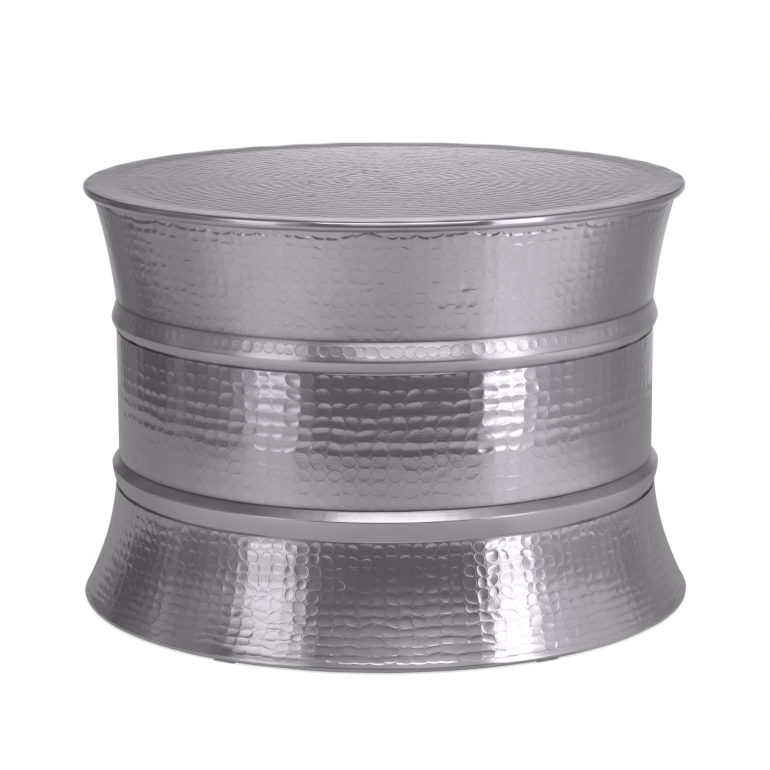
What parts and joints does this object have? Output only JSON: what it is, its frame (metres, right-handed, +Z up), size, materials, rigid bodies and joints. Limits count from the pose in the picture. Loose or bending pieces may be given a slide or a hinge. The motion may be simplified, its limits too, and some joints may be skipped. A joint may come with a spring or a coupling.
{
  "type": "drum coffee table",
  "caption": "Round drum coffee table of hammered sheet aluminium: a rolled-rim top on a waisted, hooped drum that flares to its foot.",
  "frame": {"origin": "on the floor under the middle of the table", "axes": "+Z up, along the drum's axis"},
  "size_m": [0.62, 0.62, 0.425],
  "materials": {
    "lid_metal": "finely hammered, satin",
    "board_wood": "bare plywood",
    "wire_steel": "drawn wire",
    "upper_metal": "faintly hammered, satin",
    "upper_hoop_metal": "dented upper face, brushed lower face",
    "middle_metal": "hammered in rows, polished",
    "lower_hoop_metal": "brushed",
    "skirt_metal": "deeply hammered, polished",
    "pad_felt": "pale wool felt"
  },
  "bodies": {
    "root": {"top_sheet": "lid_metal", "top_board": "board_wood", "rim_wire": "wire_steel", "upper_drum": "upper_metal", "upper_hoop": "upper_hoop_metal", "middle_drum": "middle_metal", "lower_hoop": "lower_hoop_metal", "foot_skirt": "skirt_metal", "foot_wire": "wire_steel", "floor_pad_1": "pad_felt", "floor_pad_2": "pad_felt", "floor_pad_3": "pad_felt", "floor_pad_4": "pad_felt", "floor_pad_5": "pad_felt", "floor_pad_6": "pad_felt"}
  },
  "joints": []
}
